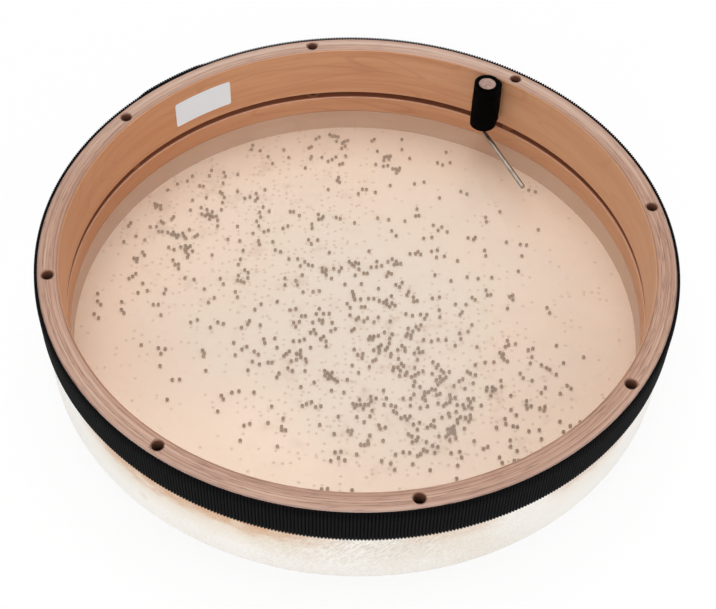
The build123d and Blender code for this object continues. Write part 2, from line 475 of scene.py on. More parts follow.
# %% [markdown]
# ## Bent beech plywood
# The three hoops are rolled from thin beech veneers. On the rim the veneers show as rings, pale
# where the fibres run along the hoop and browner where they run across it. On the inner wall one
# veneer shows its face: long soft streaks, slow flame lines and the short dark flecks of beech.
# One finish does all three hoops, because the distance from the axis tells rim from wall. The
# noises are drawn out along the hoop by squeezing the other directions. The saw tore some fibres
# out of the rim and the drill chipped the holes, whose bores are painted darker downwards as
# painted shade. In the tuning gap the wood has a painted highlight at its inner edge and painted
# shade further in, and below the film the wall of the shot's chamber is painted greyer and paler,
# as painted light thrown back by the cream hide.

# %% Plywood finish
RIM_PLIES = [
    (0.000, tone(152, 108, 82)),
    (0.075, tone(118, 78, 57)),
    (0.115, tone(172, 130, 106)),
    (0.200, tone(168, 126, 102)),
    (0.240, tone(124, 84, 62)),
    (0.280, tone(174, 134, 112)),
    (0.400, tone(180, 140, 118)),
    (0.445, tone(138, 100, 78)),
    (0.520, tone(178, 138, 116)),
    (0.570, tone(142, 102, 80)),
    (0.610, tone(192, 161, 138)),
    (0.670, tone(180, 144, 120)),
    (0.710, tone(142, 102, 80)),
    (0.770, tone(170, 132, 112)),
    (0.910, tone(176, 142, 126)),
    (0.945, tone(148, 112, 96)),
    (1.000, tone(202, 176, 165)),
]
RIM_PLAIN = tone(168, 129, 107)
RIM_TORN = tone(98, 62, 46)
RIM_SPLINTER = tone(198, 168, 148)
RIM_BACK_SHEEN = tone(220, 196, 182)
RIM_DEEP = tone(136, 96, 76)
RIM_LIGHT = tone(200, 168, 150)
VENEER_PALE = tone(212, 160, 122)
VENEER_DEEP = tone(198, 141, 103)
VENEER_LINE = tone(170, 114, 80)
VENEER_SHADE = tone(156, 100, 68)
VENEER_LEFT_SHADE = tone(192, 128, 79)
VENEER_RIGHT_LIGHT = tone(205, 160, 122)
HOLE_RADIUS = 3.5 * MM
HOLE_PALE = tone(128, 86, 66)
HOLE_BORE_SHADE = tone(78, 52, 40)
HOLE_CHIPS = 3.6 * MM
GAP_EDGE_HIGHLIGHT = tone(238, 182, 150)
GAP_SHADE = tone(150, 88, 60)
GAP_REACH = 0.15
CHAMBER_BOUNCE_LIGHT = tone(191, 175, 157)
SCARF_ANGLE = math.radians(45.5)
SCARF_WIDTH = 0.35 * MM
SCARF_SLANT = math.radians(8.5) / (3.8 * MM)
SCARF_REACH = 0.30


def hole_layers(wood, point, radius, angle):
    """Layers by distance from the nearest hole: frayed and chipped round it, painted shade down its bore.
    """
    off_hole = SCREW_CIRCLE * wood.maths("PINGPONG", angle - SCREW_HEADING, math.pi / SCREW_COUNT)
    from_edge = wood.length(off_hole, radius - SCREW_CIRCLE) - HOLE_RADIUS
    chips = wood.noise(point, 420.0, detail=3.0)
    chipped = wood.step(from_edge - HOLE_CHIPS * (chips - 0.38), 0.6 * MM, 0.2 * MM)
    frayed = wood.step(from_edge, 2.0 * MM, 0.6 * MM) * wood.step(chips, 0.48, 0.56)
    # painted shade: the bore darkens from near its top down to the screw
    down = wood.step(wood.split(point)[2], RIM_TOP - 1 * MM, SCREW_TOP)
    bore = wood.blend(down, HOLE_PALE, HOLE_BORE_SHADE)
    inside = wood.step(from_edge, 0.35 * MM, 0.1 * MM)
    return (0.35 * frayed, RIM_SPLINTER), (0.75 * chipped, RIM_TORN), (inside, bore)


def rim_finish(wood, point, radius, angle):
    """Sawn edges: plies by distance from the axis, torn fibres, chipped holes, the tuning gap and a
    painted back sheen.
    """
    _, y, z = wood.split(point)
    across = (radius - HOOP_INNER) / HOOP_WALL
    layers = wood.noise(point, 22.0, detail=3.0, depth=radius * 50.0)
    fibres = wood.noise(point, 80.0, detail=2.0, depth=radius * 28.0)
    wander = wood.noise(point, 12.0, detail=2.0)
    plies = wood.ramp(across + 0.08 * (wander - 0.5) + 0.05 * (layers - 0.5), RIM_PLIES)
    mood = wood.noise(point, 9.0, detail=1.0, depth=radius * 42.0)
    # painted sheen: the back of the rim, short of its outermost plies, is painted paler where light from
    # behind glances off it
    back_sheen = wood.step(y, 0.0, HOOP_INNER) * wood.step(across, 0.88, 0.72)
    off_joint = abs(angle - SCARF_ANGLE + (radius - HOOP_INNER) * SCARF_SLANT)
    joint = wood.step(off_joint, 0.006, 0.001) * wood.step(across, SCARF_REACH + 0.05, SCARF_REACH)
    # painted light in the tuning gap: a painted highlight at the inner edge and painted shade further in
    gap = wood.blend(wood.step(across, 0.02, GAP_REACH), GAP_EDGE_HIGHLIGHT, GAP_SHADE)
    rim = wood.glaze(
        plies,
        (0.05 + 0.45 * wood.step(layers, 0.35, 0.65), RIM_PLAIN),
        (0.75 * wood.step(fibres + 0.5 * (layers - 0.5), 0.53, 0.70), RIM_TORN),
        (0.30 * wood.step(fibres, 0.42, 0.28), RIM_SPLINTER),
        (0.40 * wood.step(mood, 0.50, 0.68), RIM_DEEP),
        (0.40 * wood.step(mood, 0.50, 0.32), RIM_LIGHT),
        (back_sheen * (0.16 + 0.24 * wood.step(across, 0.46, 0.60)), RIM_BACK_SHEEN),
        (0.6 * joint, VENEER_LINE),
        *hole_layers(wood, point, radius, angle),
        (0.9 * wood.step(z, FRAME_BOTTOM, TUNING_TOP), gap),
    )
    return rim, layers + 0.6 * fibres


def plywood_finish():
    """Sawn plies on the rim, and on the inner wall a veneer figured by height."""
    wood, point = new_finish("beech_plywood")
    x, y, z = wood.split(point)
    radius = wood.length(x, y)
    rim, rim_relief = rim_finish(wood, point, radius, wood.maths("ARCTAN2", y, x))

    along = wood.join(x, y, z * 16.0)
    streaks = wood.noise(along, 9.0, detail=5.0, roughness=0.62)
    slow = wood.noise(wood.join(x, y, z * 5.0), 4.2, detail=2.0, distortion=0.4)
    flame = wood.maths("PINGPONG", slow * 11.0, 0.5) * 2.0
    flecks = wood.step(wood.noise(wood.join(x, y, z * 9.0), 340.0, detail=2.0), 0.60, 0.74)
    sideways = y * math.cos(SCARF_ANGLE) - x * math.sin(SCARF_ANGLE)
    ahead = x * math.cos(SCARF_ANGLE) + y * math.sin(SCARF_ANGLE)
    scarf = wood.step(abs(sideways), SCARF_WIDTH, 0.0) * wood.step(ahead, 0.0, 0.1)
    face = wood.glaze(
        VENEER_DEEP,
        (wood.step(streaks, 0.30, 0.72), VENEER_PALE),
        (0.30 * wood.step(flame, 0.80, 1.0), VENEER_LINE),
        (0.20 * flecks, VENEER_LINE),
        (0.35 * scarf, VENEER_LINE),
        # painted shade on the left of the wall and painted light on the right, for how the lamps fall
        (0.40 * wood.step(x, -0.06, -0.15), VENEER_LEFT_SHADE),
        (0.40 * wood.step(x, 0.06, 0.15), VENEER_RIGHT_LIGHT),
        (0.20 * wood.step(z, FRAME_BOTTOM + 7 * MM, TUNING_TOP), VENEER_SHADE),
        # painted light: below the film the wall is greyed and paled, for the light that the cream hide
        # throws back onto it
        (0.40 * wood.step(z, FILM_TOP, FILM_BOTTOM), CHAMBER_BOUNCE_LIGHT),
    )
    on_wall = wood.step(radius, HOOP_INNER + 0.5 * MM, HOOP_INNER + 0.2 * MM)
    colour = wood.blend(on_wall, rim, face)
    height = on_wall * (0.6 * streaks - 0.5 * flecks) + (1 - on_wall) * rim_relief
    return wood.surface(
        Base_Color=colour,
        Roughness=0.40 + 0.14 * streaks,
        Normal=wood.bump(height, 0.12 * MM, 0.5),
    )


plywood = plywood_finish()
for hoop in ("frame_hoop", "tuning_hoop", "chamber_hoop"):
    dress(hoop, plywood)
print("plywood on three hoops, about", len(RIM_PLIES), "tones across the rim")

# %% [markdown]
# ## The clear head
# A polyester film is clamped flat between the two lower hoops. It is nearly invisible: it greys
# what lies behind it a little and keeps a soft gloss. A plain disc would be perfectly flat, and
# real film never is, so very low ripples run across it, fading out where the hoops hold it.

# %% Film surface
FILM_RIPPLE = 0.05 * MM
FILM_CLAMP = 0.04 * MM
# share of the film's area inside the first ring
FILM_HUB = 0.0004
FILM_ROWS = 40
FILM_COLUMNS = 180
FILM_WAVES = ((1.0, 83, 31, 0.0), (1.0, -47, 96, 1.0), (1.0, 120, -70, 2.2))


def film_ripple(x, y):
    """Low crossing waves, the sum of three sines, that die out towards the clamped edge."""
    held = np.clip(1 - (np.hypot(x, y) / HOOP_INNER) ** 4, 0, 1)
    return FILM_RIPPLE * held * crossing_waves(x, y, FILM_WAVES)


def film_finish():
    """Clear film: mostly transparent, with a pale haze and a few wiped smears."""
    film, point = new_finish("clear_film")
    smears = film.noise(point, 22.0, detail=4.0, distortion=1.2)
    return film.surface(
        Base_Color=tone(235, 222, 208),
        Roughness=0.10 + 0.12 * smears,
        Alpha=0.10 + 0.03 * film.step(smears, 0.45, 0.75),
        IOR=1.57,
    )


film_angles = turn(FILM_COLUMNS)
film_rings = np.sqrt(np.linspace(FILM_HUB, 1, FILM_ROWS))[:, None] * FILM_RADIUS
film_flat = spun(film_rings, 0.0, film_angles)
ripple = film_ripple(film_flat[..., 0], film_flat[..., 1])
film_under = spun(film_rings, FILM_BOTTOM + FILM_CLAMP + ripple, film_angles)
film_top = spun(film_rings, FILM_TOP - FILM_CLAMP + ripple, film_angles)
film_points, film_faces = capped_grid(np.concatenate([film_under, film_top[::-1]]))
clear_head = new_piece("clear_film", film_points, film_faces, film_finish(), "clear_film")
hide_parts("clear_head")
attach(clear_head, "base")

# %% [markdown]
# ## The hide
# One hide closes the bottom, bends round the chamber hoop and runs up the outside to its glued
# edge under the ribbon. It was soaked and shrunk on, so the wall is taut but not machined: it
# waves a little and draws in where no hoop backs it. A profile turned about the axis gives the
# shape. The lower part lies on the base and the edge on the frame hoop, which the screws lift.

# %% Hide surface
HIDE_THICKNESS = 0.6 * MM
HIDE_BEND = 9.5 * MM
HIDE_WAVE = 0.10 * MM
HIDE_DRAWN_IN = 0.16 * MM
HIDE_DRAW_SPAN = 4 * MM
HIDE_EDGE_WANDER = 0.7 * MM
HIDE_COLUMNS = 300
# share of the flat's radius at the first ring
HIDE_HUB = 0.002
FLAT_ROWS = 26
BEND_ROWS = 14
WALL_ROWS = 34
WAVES_START = 12 * MM
WAVES_RAMP = 8 * MM
HIDE_WAVES = ((1.0, 5, 40, 0.0), (1.0, 13, -90, 1.3), (0.7, 31, 150, 0.4))
EDGE_WAVES = ((1.0, 7, 0, 0.5), (0.6, 17, 0, 2.0))


def hide_profile(offset):
    """Radius and height along the hide from the middle to its edge, offset outwards from its inside."""
    bend = HIDE_BEND + offset
    middle = HIDE_OUTER - HIDE_THICKNESS - HIDE_BEND
    centre_height = HIDE_THICKNESS + HIDE_BEND
    flat = np.linspace(HIDE_HUB, 1, FLAT_ROWS)[:-1] * middle
    arc = np.linspace(-np.pi / 2, 0, BEND_ROWS)
    wall = np.linspace(centre_height, HIDE_EDGE, WALL_ROWS)[1:]
    bottom = np.full(flat.size, centre_height - bend)
    radius = np.concatenate([flat, middle + bend * np.cos(arc), np.full(wall.size, middle + bend)])
    height = np.concatenate([bottom, centre_height + bend * np.sin(arc), wall])
    return radius[:, None], height[:, None]


def hide_wave(angles, height):
    """How far the wall stands out: slow waves round the drum, less the draw-in at the tuning gap."""
    gap = (FRAME_BOTTOM + TUNING_TOP) / 2
    drawn = np.exp(-(((height - gap) / HIDE_DRAW_SPAN) ** 2))
    on_wall = np.clip((height - WAVES_START) / WAVES_RAMP, 0, 1)
    return on_wall * (HIDE_WAVE * crossing_waves(angles, height, HIDE_WAVES) - HIDE_DRAWN_IN * drawn)


def hide_side(offset, angles):
    """One face of the hide: the turned profile with its waves and an edge cut by hand."""
    radius, height = hide_profile(offset)
    near_edge = np.clip((height - RIBBON_BOTTOM) / (HIDE_EDGE - RIBBON_BOTTOM), 0, 1) ** 2
    cut = height - HIDE_EDGE_WANDER * near_edge * (1 - crossing_waves(angles, 0.0, EDGE_WAVES)) / 2
    return spun(radius + hide_wave(angles, height), cut, angles)


# %% [markdown]
# The hide's colour is a warm cream with cloudy patches. Inside, it turns peach towards the wall,
# which is painted warm light thrown back by the wood, and at the front it is painted paler, as
# painted light against the shade of the front rim, except where the shot lies. Outside it is
# chalkier, a rusty stain was left below the ribbon at the front left and a fainter one at the right,
# a few tan blemishes follow, and at the front the skin is creased, with painted shade in the
# creases, deepest under the ribbon. Inside, brown spots of the shot's size and some smudges are
# painted shadows of the shot, most of them where it lies most. The distance from the circle that
# the bend turns about tells the two faces apart.

# %% Hide finish
HIDE_CREAM = tone(226, 214, 200)
HIDE_PEACH_BOUNCE = tone(238, 211, 187)
HIDE_FRONT_LIGHT = tone(251, 231, 210)
HIDE_WHITE = tone(252, 248, 242)
HIDE_CHALK = tone(250, 246, 240)
HIDE_BUFF = tone(236, 228, 216)
HIDE_CREASE_SHADE = tone(206, 197, 184)
HIDE_RUST = tone(206, 152, 108)
HIDE_TAN = tone(230, 213, 190)
HIDE_SHOT_SHADOW = tone(190, 162, 138)
STAINS = (
    # heading in degrees, cosines off it where the stain starts and is full, strength
    (-117, 0.88, 0.985, 1.0),
    (-73, 0.985, 0.999, 0.35),
    (-46, 0.980, 0.998, 0.5),
)
STAIN_DEPTH = 17 * MM
SHADOW_DRIFTS = (
    # middle x and y, reach in x and y, in millimetres
    (35, -55, 88, 76),
    (-75, 75, 80, 85),
)
SHADOW_CELL = 5.2 * MM
BLEMISH_CELL = 34 * MM


def spots(finish, point, cell):
    """Distance to the middle of the nearest spot, in cells, and a random number for that spot."""
    settings = {"voronoi_dimensions": "2D"}
    sockets = {"Vector": point, "Scale": 1 / cell}
    distance = finish.node("ShaderNodeTexVoronoi", settings, sockets, output="Distance")
    colour = finish.node("ShaderNodeTexVoronoi", settings, sockets, output="Color")
    return distance, finish.split(colour)[0]


def drift_share(hide, x, y):
    """1 where the shot likes to lie, falling to 0 away from the middle of each drift."""
    share = 0.0
    for middle_x, middle_y, reach_x, reach_y in SHADOW_DRIFTS:
        off_x = (x - middle_x * MM) / (reach_x * MM)
        off_y = (y - middle_y * MM) / (reach_y * MM)
        share = hide.maths("MAXIMUM", share, hide.step(off_x * off_x + off_y * off_y, 2.2, 0.1))
    return share


def hide_inner_tone(hide, point, clouds):
    """Cream in the middle and peach at the wall as painted bounce light, with painted shadows of the shot
    as spots and smudges.
    """
    x, y, _ = hide.split(point)
    # peach in cloudy patches, and towards the wall as painted warm light thrown back by the wood
    cloud_and_bounce = 0.5 * clouds + 0.55 * hide.length(x, y) / HOOP_INNER
    zone = drift_share(hide, x, y)
    patches = hide.noise(point, 60.0, detail=3.0)
    # painted shadows of the shot: smudges and spots of its size, most where it lies most
    shadow_smudges = zone * hide.step(patches, 0.52, 0.75)
    distance, chance = spots(hide, point, SHADOW_CELL)
    picked = hide.step(chance + 0.52 * zone + 1.1 * (patches - 0.5), 0.80, 1.00)
    shot_shadow_spots = picked * hide.step(distance, 0.20 + 0.20 * patches, 0.08)
    return hide.glaze(
        HIDE_CREAM,
        (hide.step(cloud_and_bounce, 0.32, 0.92), HIDE_PEACH_BOUNCE),
        # painted light: the front, shaded by the front rim, is painted paler except where the shot lies
        (hide.step(y, -0.03, -0.12) * (1 - zone * zone), HIDE_FRONT_LIGHT),
        (0.40 * shadow_smudges, HIDE_SHOT_SHADOW),
        (0.62 * shot_shadow_spots, HIDE_SHOT_SHADOW),
    )


def hide_outer_tone(hide, point, clouds, ragged, creases):
    """Chalk, buff at the front, stains below the ribbon, blemishes, and slanting creases in painted shade.
    """
    x, y, z = hide.split(point)
    speck = hide.noise(point, 800.0, detail=2.0, roughness=0.7)
    front = hide.step(y / HIDE_OUTER, -0.72, -0.96)
    mottle = hide.step(0.4 * clouds + 0.6 * speck, 0.42, 0.66)
    below = (RIBBON_BOTTOM - z) / STAIN_DEPTH
    crease_shade = hide.step(y / HIDE_OUTER, -0.94, -0.985) * hide.step(creases, 0.46, 0.60)
    facing = 0.0
    for heading, start, full, strength in STAINS:
        toward = math.radians(heading)
        ahead = (x * math.cos(toward) + y * math.sin(toward)) / HIDE_OUTER
        facing = facing + strength * hide.step(ahead, start, full)
    tint = facing * hide.step(below + 1.2 * (0.5 - clouds), 2.0, 0.6)
    stain = facing * hide.step(below + 1.7 * (0.5 - ragged), 0.95, 0.15)

    around = hide.join(hide.maths("ARCTAN2", y, x) * HIDE_OUTER, z, 0.0)
    distance, chance = spots(hide, around, BLEMISH_CELL)
    blemish = hide.step(chance, 0.62, 0.80) * hide.step(distance + 0.3 * (ragged - 0.5), 0.16, 0.02)
    return hide.glaze(
        HIDE_WHITE,
        (front, hide.blend(mottle, HIDE_CHALK, HIDE_BUFF)),
        # painted shade in the creases at the front, deepest just under the ribbon
        (crease_shade * (0.15 + 0.50 * hide.step(below, 2.0, 0.6)), HIDE_CREASE_SHADE),
        (0.7 * tint, HIDE_TAN),
        (0.85 * stain * (0.4 + speck), HIDE_RUST),
        (0.5 * blemish * hide.step(z, HIDE_THICKNESS, HIDE_BEND), HIDE_TAN),
    )


def hide_finish():
    """Cream skin: chalky outside with a rust stain, warmer inside with rubbed spots."""
    hide, point = new_finish("natural_hide")
    x, y, z = hide.split(point)
    clouds = hide.noise(point, 14.0, detail=4.0, roughness=0.55)
    ragged = hide.noise(hide.join(x, y, z * 2.2), 70.0, detail=5.0, roughness=0.65)
    creases = hide.noise(hide.join(x - 0.8 * z, y, z * 0.35), 850.0, detail=2.0, roughness=0.6)
    inside = hide_inner_tone(hide, point, clouds)
    outside = hide_outer_tone(hide, point, clouds, ragged, creases)
    flat_end = HIDE_OUTER - HIDE_THICKNESS - HIDE_BEND
    past_flat = hide.maths("MAXIMUM", hide.length(x, y) - flat_end, 0.0)
    under_wall = hide.maths("MAXIMUM", HIDE_THICKNESS + HIDE_BEND - z, 0.0)
    from_bend = hide.length(past_flat, under_wall)
    outer_face = hide.step(from_bend, HIDE_BEND + 0.12 * MM, HIDE_BEND + 0.30 * MM)
    pores = hide.noise(point, 1500.0, detail=2.0)
    return hide.surface(
        Base_Color=hide.blend(outer_face, inside, outside),
        Roughness=0.46 + 0.16 * clouds,
        Normal=hide.bump(0.4 * pores + 0.6 * creases + 0.5 * ragged, 0.22 * MM, 0.6),
    )


hide_angles = turn(HIDE_COLUMNS)
hide_inside = hide_side(0.0, hide_angles)
hide_outside = hide_side(HIDE_THICKNESS, hide_angles)
hide_points, hide_faces = capped_grid(np.concatenate([hide_outside, hide_inside[::-1]]))
hide_head = new_piece("hide_skin", hide_points, hide_faces, hide_finish(), "hide", sharp_degrees=60)
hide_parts("hide_head")
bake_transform(hide_head)

# %% [markdown]
# ## The ribbon
# A black ribbed ribbon covers the hide's glued edge. Its ribs are thick threads that run across
# the ribbon, 2 mm apart, and they stand out at both edges like small teeth. They are real
# geometry: round the drum, each rib is a rounded bump, and between two ribs the edge steps back.
# At the back left the ribbon's end, folded under, laps over its start. The hide ends a little
# below the rim, so there the ribbon leans in to the wood, and it sags a little at the front right.

# %% Ribbon surface
RIB_PITCH = 2.0 * MM
RIB_SAMPLES = 6
RIB_DEPTH = 0.85 * MM
RIB_TOOTH = 1.0 * MM
RIB_PROUD = 0.45 * MM
RIB_ROUNDNESS = 0.7
RIBBON_FACE = (
    # share of the way up the ribbon, share of its thickness there
    (0.0, 0.35), (0.02, 0.8), (0.06, 1.0), (0.28, 1.0), (0.5, 1.0), (0.72, 1.0),
    (0.84, 1.0), (0.9, 1.0), (0.95, 1.0), (0.985, 0.95), (1.0, 0.7),
)
BACK_BELOW_RIM = 0.4 * MM
BACK_ABOVE_EDGE = 0.1 * MM
RIBBON_CORE = 0.30 * MM
RIBBON_SEAT = 0.05 * MM
LEAN_SPAN = 2.5 * MM
FACE_LEAN = 0.4
RIBBON_SAG = 2.0 * MM
SAG_HEADING = math.radians(-55)
LAP_START = math.radians(123.6)
LAP_END = math.radians(141.2)
LAP_RISE = 1.3 * MM
LAP_FOLD = math.radians(2.6)
LAP_RAMP = math.radians(3.5)


def leaning(height):
    """How far the ribbon leans in at a height: not beside the hide, fully at the rim."""
    return (RIBBON_INNER - HOOP_OUTER - RIBBON_SEAT) * smooth((height - HIDE_EDGE) / LEAN_SPAN)


def ribbon_section(angles):
    """Rows of radius and height round the ribbon's section: up its ribbed face and down its back."""
    phase = np.arange(angles.size) % RIB_SAMPLES / RIB_SAMPLES - 0.5
    rib = np.abs(np.cos(np.pi * phase)) ** RIB_ROUNDNESS
    lap = smooth((angles - LAP_START) / LAP_FOLD) * smooth((LAP_END - angles) / LAP_RAMP)
    thickness = LAP_RISE * lap + RIBBON_CORE + RIB_DEPTH * rib
    edge = (1 - rib) * RIB_TOOTH
    sag = RIBBON_SAG * np.clip(np.cos(angles - SAG_HEADING), 0, 1) ** 2
    low = RIBBON_BOTTOM - RIB_PROUD / 2 + edge - sag
    high = RIM_TOP + RIB_PROUD - edge
    share, rounding = np.array(RIBBON_FACE).T[..., None]
    face_height = low + (high - low) * share
    level = np.ones_like(high)
    back_height = np.stack([(RIM_TOP - BACK_BELOW_RIM) * level, HIDE_EDGE * level, low + BACK_ABOVE_EDGE])
    face = RIBBON_INNER + thickness * rounding - FACE_LEAN * leaning(face_height)
    back = RIBBON_INNER - leaning(back_height)
    return np.concatenate([face, back]), np.concatenate([face_height, back_height])


def ribbon_finish():
    """Black ribbed weave: fine threads, the crests of the ribs painted lighter grey as a highlight, a soft
    sheen.
    """
    cloth, point = new_finish("ribbed_ribbon")
    x, y, z = cloth.split(point)
    threads = cloth.noise(cloth.join(x * 0.25, y * 0.25, z), 3200.0, detail=1.0)
    fluff = cloth.noise(point, 900.0, detail=3.0)
    proud = cloth.length(x, y) - RIBBON_INNER - RIBBON_CORE
    crest = cloth.step(proud / RIB_DEPTH, 0.35, 1.0)
    # painted highlight: the rib crests are lighter grey than the grooves, broken up by the fluff
    colour = cloth.blend(crest * cloth.step(fluff, 0.30, 0.75), tone(3, 3, 4), tone(18, 19, 21))
    return cloth.surface(
        Base_Color=colour,
        Roughness=0.55 + 0.2 * fluff,
        Normal=cloth.bump(threads, 0.12 * MM, 0.6),
        Specular_IOR_Level=0.06,
    )


rib_count = round(2 * math.pi * (RIBBON_INNER + RIBBON_CORE) / RIB_PITCH)
ribbon_angles = turn(rib_count * RIB_SAMPLES)
ribbon_grid = spun(*ribbon_section(ribbon_angles), ribbon_angles)
ribbon = new_piece(
    "trim_ribbon_ribs", *closed_grid(ribbon_grid), ribbon_finish(), "ribbon", sharp_degrees=50
)
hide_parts("trim_ribbon")
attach(ribbon, "frame")

# %% [markdown]
# ## The shot
# Some eight hundred small steel balls lie on the hide where the last tilt left them: a dense drift
# in front, a wide thin one round it, and strips against the wall at the back and on the left. Many
# of them touch another ball. Their places are drawn from five soft clouds with a fixed seed, some
# are moved against a neighbour, and then overlapping pairs push each other apart. The drum's axis
# divides them into three rings, because each ring swirls on a joint of its own.

# %% Scatter the shot
SHOT_DIAMETER = 2.4 * MM
SHOT_COUNT = 830
SHOT_FLOAT = 0.05 * MM
SHOT_MIDDLE = HIDE_THICKNESS + SHOT_FLOAT + SHOT_DIAMETER / 2
SHOT_RINGS = ("inner", "middle", "outer")
SHOT_WALL_GAP = 3.0 * MM
SHOT_PARTING = 0.6 * MM
SHOT_CLOUDS = (
    # share, middle x and y, spread in x and y, in millimetres
    (0.30, 56, -66, 50, 40),
    (0.52, -12, 8, 74, 68),
    (0.07, -122, 98, 24, 32),
    (0.07, -22, 156, 36, 14),
    (0.04, -160, 30, 14, 32),
)
SHOT_TOUCHING = 0.30
SHOT_BESIDE = (1.0, 2.2)
SHOT_SPARE = 1.12
SHOT_SLACK = 1.01
SHOT_SEED = 22
RELAX_ROUNDS = 60
BALL_CUTS = 3
dice = np.random.default_rng(SHOT_SEED)


def scatter(count):
    """Random places in the clouds, in metres."""
    share, *shape = np.array(SHOT_CLOUDS).T
    cloud = dice.choice(len(SHOT_CLOUDS), size=count, p=share)
    middle = np.stack(shape[:2], axis=-1)[cloud]
    spread = np.stack(shape[2:], axis=-1)[cloud]
    return (middle + spread * dice.standard_normal((count, 2))) * MM


def ring_of(places):
    """Which ring each place lies in, and whether it keeps clear of the rings' borders and the wall."""
    width = (HOOP_INNER - SHOT_WALL_GAP) / len(SHOT_RINGS)
    distance = np.hypot(*places.T)
    ring = np.floor(distance / width).astype(int)
    within = distance - ring * width
    margin = (SHOT_DIAMETER + SHOT_PARTING) / 2
    clear = (within > margin) & (within < width - margin) & (ring < len(SHOT_RINGS))
    return ring, clear


def pushed_apart(places):
    """Move each overlapping pair apart by half of its overlap."""
    apart = places[:, None] - places[None]
    distance = np.hypot(apart[..., 0], apart[..., 1])
    np.fill_diagonal(distance, np.inf)
    overlap = np.clip(SHOT_DIAMETER * SHOT_SLACK - distance, 0, None)
    push = apart / np.maximum(distance, 1e-9)[..., None] * (overlap / 2)[..., None]
    return places + push.sum(axis=1)


def shot_places():
    """Scatter more balls than needed, draw some against a neighbour, part them and keep the clear ones."""
    places = scatter(SHOT_COUNT * 2)
    places = places[np.hypot(*places.T) < HOOP_INNER - SHOT_WALL_GAP - SHOT_DIAMETER]
    places = places[: int(SHOT_COUNT * SHOT_SPARE)]
    lonely = int(len(places) * (1 - SHOT_TOUCHING))
    partner = dice.integers(0, np.arange(lonely, len(places)))
    heading = dice.uniform(0, 2 * np.pi, len(partner))
    beside = SHOT_DIAMETER * dice.uniform(*SHOT_BESIDE, len(partner))
    beside = beside[:, None] * np.stack([np.cos(heading), np.sin(heading)], axis=-1)
    places[lonely:] = places[partner] + beside
    for _ in range(RELAX_ROUNDS):
        places = pushed_apart(places)
    return places[ring_of(places)[1]][:SHOT_COUNT]


def ball_mesh(cuts):
    """A round ball of few faces: a cube's faces cut into squares and blown up to a unit sphere."""
    line = np.tan(np.linspace(-1, 1, cuts + 1) * np.pi / 4)
    across, upward = np.meshgrid(line, line, indexing="ij")
    face = np.stack([across, upward, np.ones_like(across)], axis=-1)
    sides = np.stack([np.roll(face, turns, axis=-1) * sign for sign in (1, -1) for turns in range(3)])
    points = sides.reshape(-1, 3)
    points = points / np.linalg.norm(points, axis=-1, keepdims=True)
    merged, index = np.unique(np.round(points, 6), axis=0, return_inverse=True)
    one_side = grid_faces(cuts + 1, cuts + 1, close_columns=False)
    per_side = (cuts + 1) ** 2
    faces = np.concatenate([one_side + side * per_side for side in range(6)])
    faces = index.reshape(-1)[faces]
    normal = np.cross(merged[faces[:, 1]] - merged[faces[:, 0]], merged[faces[:, 2]] - merged[faces[:, 0]])
    inward = np.einsum("ij,ij->i", normal, merged[faces[:, 0]]) < 0
    faces[inward] = faces[inward][:, ::-1]
    return merged, faces


def shot_finish():
    """Tumbled steel: brown grey from the hide's dust, dull, uneven from ball to ball.

    It is darker towards the top, or the lamp above would make the balls look hollow in the middle.
    """
    steel, point = new_finish("shot_steel")
    batch = steel.noise(point, 160.0, detail=1.0)
    grit = steel.noise(point, 2400.0, detail=2.0)
    colour = steel.blend(steel.step(batch, 0.3, 0.7), tone(152, 124, 95), tone(174, 144, 113))
    upward = steel.step((steel.split(point)[2] - SHOT_MIDDLE) / SHOT_DIAMETER, -0.1, 0.5)
    colour = steel.blend(0.62 * upward, colour, tone(114, 91, 68))
    return steel.surface(
        Base_Color=colour,
        Specular_IOR_Level=0.08,
        Roughness=0.60 + 0.2 * grit,
        Normal=steel.bump(grit, 0.03 * MM, 0.4),
    )


shot_steel = shot_finish()
balls = shot_places()
ball_ring = ring_of(balls)[0]
ball_points, ball_faces = ball_mesh(BALL_CUTS)
for number, ring_name in enumerate(SHOT_RINGS):
    centres = balls[ball_ring == number]
    centres = np.column_stack([centres, np.full(len(centres), SHOT_MIDDLE)])
    points = (centres[:, None] + ball_points * SHOT_DIAMETER / 2).reshape(-1, 3)
    starts = np.arange(len(centres))[:, None, None] * len(ball_points)
    faces = (ball_faces + starts).reshape(-1, 4)
    piece = new_piece(
        f"shot_{ring_name}_balls", points, [faces], shot_steel, "shot_steel", sharp_degrees=80
    )
    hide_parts(f"shot_{ring_name}")
    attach(piece, f"shot_{ring_name}")
print(len(balls), "balls")

# %% [markdown]
# ## Tuning screws, inserts and discs
# Eight headless M6 screws sit deep in the rim's holes. A key in the hexagon socket turns them,
# they press on steel discs in the tuning hoop, and that stretches the hide. The CAD screws are
# smooth outside, so here each gets its dog point and its thread: the radius swings between root
# and crest as the angle and the height wind together. The top rings pass from a circle to a
# hexagon, and the key has worn the blacking off there; they are painted brighter still, as a
# painted glint. Wood dust clings to the oily steel of all but one; their colour is also lightened
# to the wood's, as painted light for the shade of the gap, and the bare one is the only one that
# shows as a dark spot in the gap.

# %% Threaded screws
THREAD_PITCH = 1.0 * MM
THREAD_DEPTH = 0.5 * MM
ROWS_PER_TURN = 6
SCREW_SIDES = 24
SOCKET_ACROSS = 3.1 * MM
SOCKET_DEPTH = 3.5 * MM
SOCKET_BEVEL = 1.12
SOCKET_BEVEL_DEPTH = 0.2 * MM
DRILL_POINT = 0.5 * MM
DRILL_POINT_SHARE = 0.1
SCREW_CHAMFER = 0.6 * MM
DOG_RADIUS = 2.0 * MM
DOG_LENGTH = 3.0 * MM


